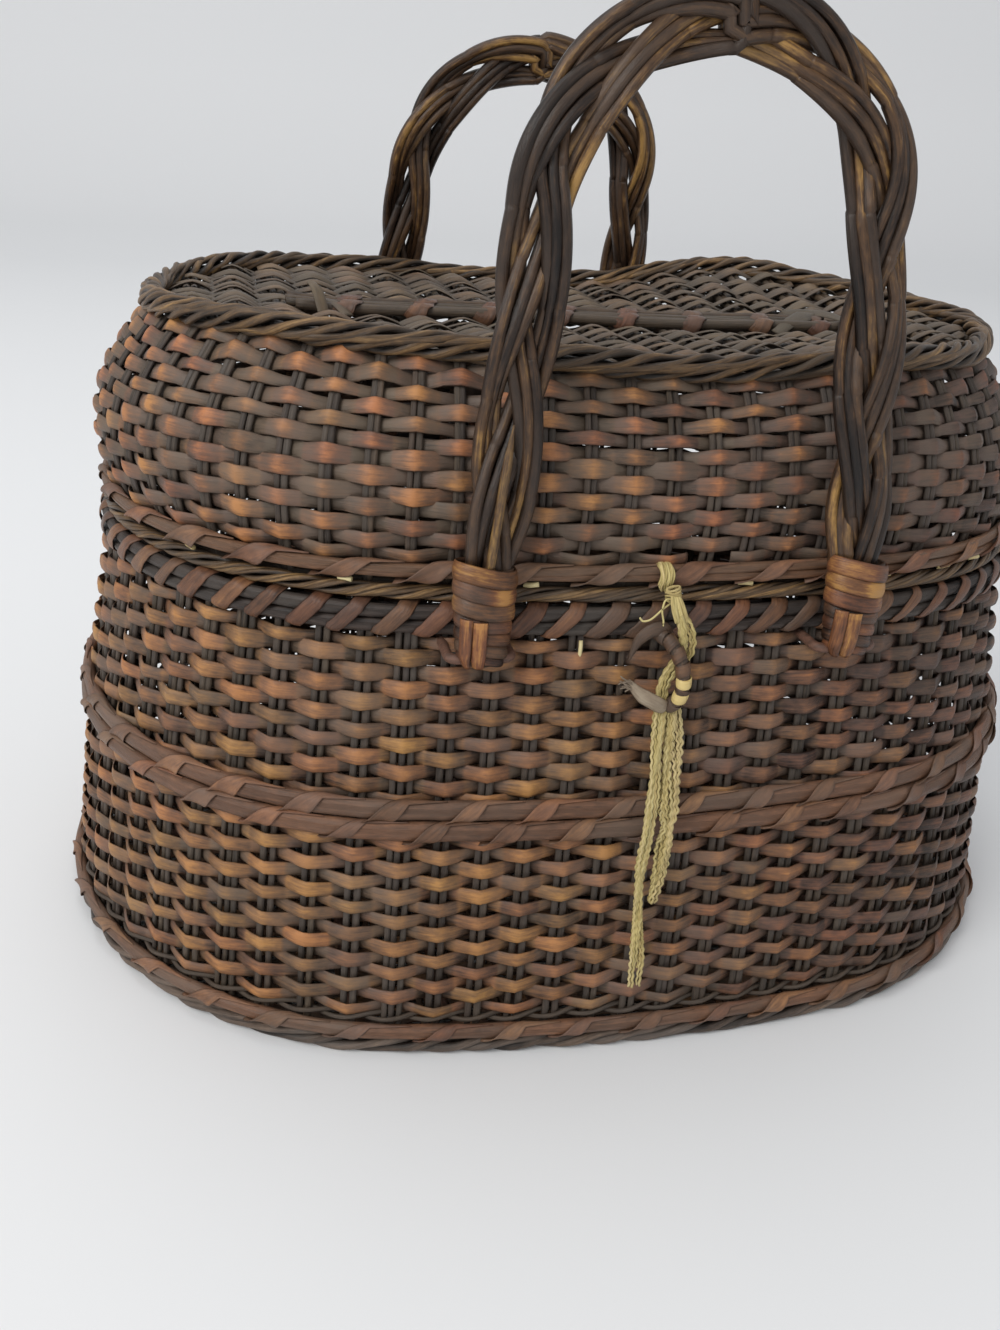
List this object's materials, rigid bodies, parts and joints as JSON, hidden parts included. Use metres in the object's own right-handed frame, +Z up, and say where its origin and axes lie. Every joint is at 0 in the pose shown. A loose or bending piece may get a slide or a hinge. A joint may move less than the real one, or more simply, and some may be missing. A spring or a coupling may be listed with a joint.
{
  "type": "lidded wicker hand basket",
  "caption": "Oval lidded wicker hand basket: woven stake-and-strand walls, cane-hinged domed lid, braided bail handles that fold down, cane clasp loop and string tie.",
  "frame": {"origin": "on the floor under the middle of the foot border", "axes": "+X along the long way of the basket towards its right-hand end, -Y towards the front with the clasp and tie, +Z up"},
  "size_m": [0.377, 0.2696, 0.3127],
  "materials": {
    "weave": "matte",
    "stake_cane": "matte",
    "rod_cane": "satin",
    "rope_cane": "satin",
    "binding_cane": "satin",
    "braid_cane": "satin",
    "string": "matte"
  },
  "bodies": {
    "basket": {"base_panel": "weave", "base_long_sticks": "stake_cane", "base_cross_sticks": "stake_cane", "foot_border": "rope_cane", "foot_hoop": "rope_cane", "lower_wall": "weave", "upper_wall": "weave", "body_stakes": "stake_cane", "waist_hoop_lower": "rod_cane", "waist_hoop_upper": "rod_cane", "rim_hoop_lower": "rod_cane", "rim_hoop_upper": "rod_cane", "rim_hoop_inner": "rod_cane", "rim_binding": "binding_cane", "front_handle_anchors": "rod_cane", "back_handle_anchors": "rod_cane", "hinge_anchors": "rod_cane", "hinge_links": "binding_cane", "clasp_loop": "rod_cane", "clasp_wraps": "binding_cane"},
    "lid": {"lid_wall": "weave", "lid_stakes": "stake_cane", "lid_rim_hoop": "rod_cane", "lid_lower_plait": "rope_cane", "lid_top_border": "rope_cane", "lid_top_panel": "weave", "lid_spine_sticks": "rod_cane", "lid_spine_bands": "binding_cane", "hinge_bar": "rod_cane", "hinge_lashings": "binding_cane"},
    "front_handle": {"front_handle_strand_a": "braid_cane", "front_handle_strand_b": "braid_cane", "front_handle_strand_c": "braid_cane", "front_handle_left_cuff": "binding_cane", "front_handle_right_cuff": "binding_cane"},
    "back_handle": {"back_handle_strand_a": "braid_cane", "back_handle_strand_b": "braid_cane", "back_handle_strand_c": "braid_cane", "back_handle_left_cuff": "binding_cane", "back_handle_right_cuff": "binding_cane"},
    "tie": {"tie_knot": "string", "tie_left_tail": "string", "tie_right_tail": "string"}
  },
  "joints": [
    {"name": "lid_hinge", "type": "hinge", "parent": "basket", "child": "lid", "pos_m": [0, 0.11835, 0.157], "axis": [-1, 0, 0], "range_deg": [0, 100], "deforming": ["tie_knot", "tie_left_tail", "tie_right_tail"]},
    {"name": "front_handle_swing", "type": "hinge", "parent": "basket", "child": "front_handle", "pos_m": [0, -0.12011, 0.1394], "axis": [1, 0, 0], "range_deg": [0, 130]},
    {"name": "back_handle_swing", "type": "hinge", "parent": "basket", "child": "back_handle", "pos_m": [0, 0.12421, 0.1394], "axis": [-1, 0, 0], "range_deg": [0, 90]},
    {"name": "tie_swing", "type": "hinge", "parent": "lid", "child": "tie", "pos_m": [-0.001, -0.1117, 0.161], "axis": [-1, 0, 0], "range_deg": [-100, 0]}
  ],
  "couplings": [
    {"joint": "back_handle_swing", "follows": "lid_hinge", "ratio": 0.9},
    {"joint": "tie_swing", "follows": "lid_hinge", "ratio": -1}
  ]
}
